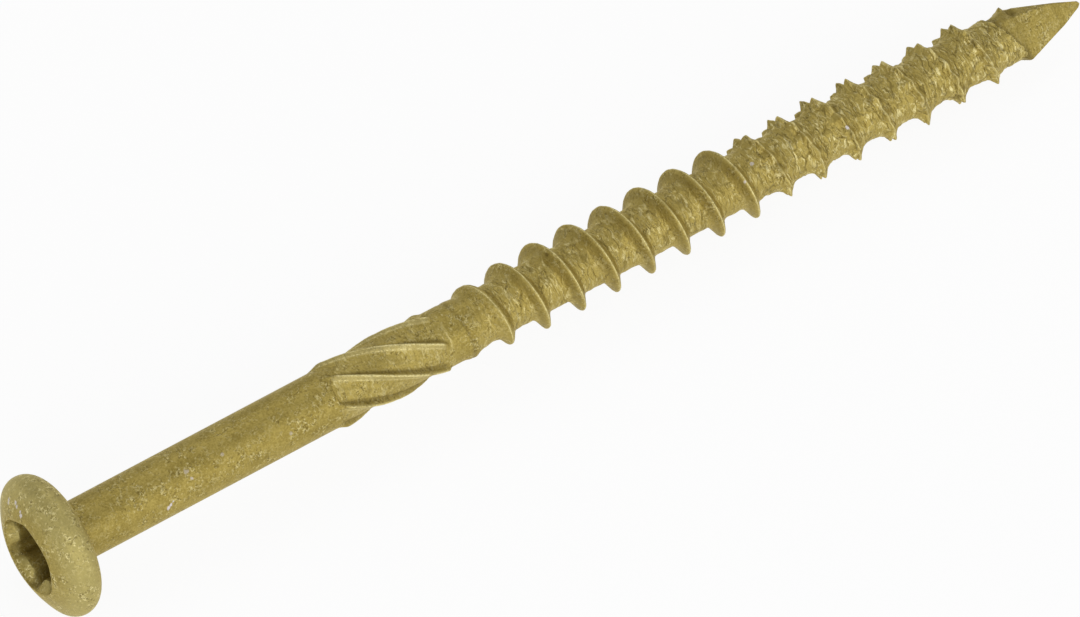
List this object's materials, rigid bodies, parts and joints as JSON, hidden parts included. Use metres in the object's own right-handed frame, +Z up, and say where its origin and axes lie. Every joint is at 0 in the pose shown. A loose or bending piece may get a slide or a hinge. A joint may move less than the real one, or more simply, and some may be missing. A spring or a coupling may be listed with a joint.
{
  "type": "facade screw",
  "caption": "Domed-head wood screw with lobed drive, plain shank, ribbed reamer, coarse right-hand thread with serrated front half and pinched point, for fixing facade boards.",
  "frame": {"origin": "on the surface the screw lies on, below the middle of its length", "axes": "+X along the screw from head to tip, +Z up; the axis dips towards the tip because the rim of the head and the thread both touch the surface"},
  "size_m": [0.1038, 0.0124, 0.0125],
  "materials": {
    "coated_steel": "satin"
  },
  "bodies": {
    "root": {"facade_screw": "coated_steel"}
  },
  "joints": []
}
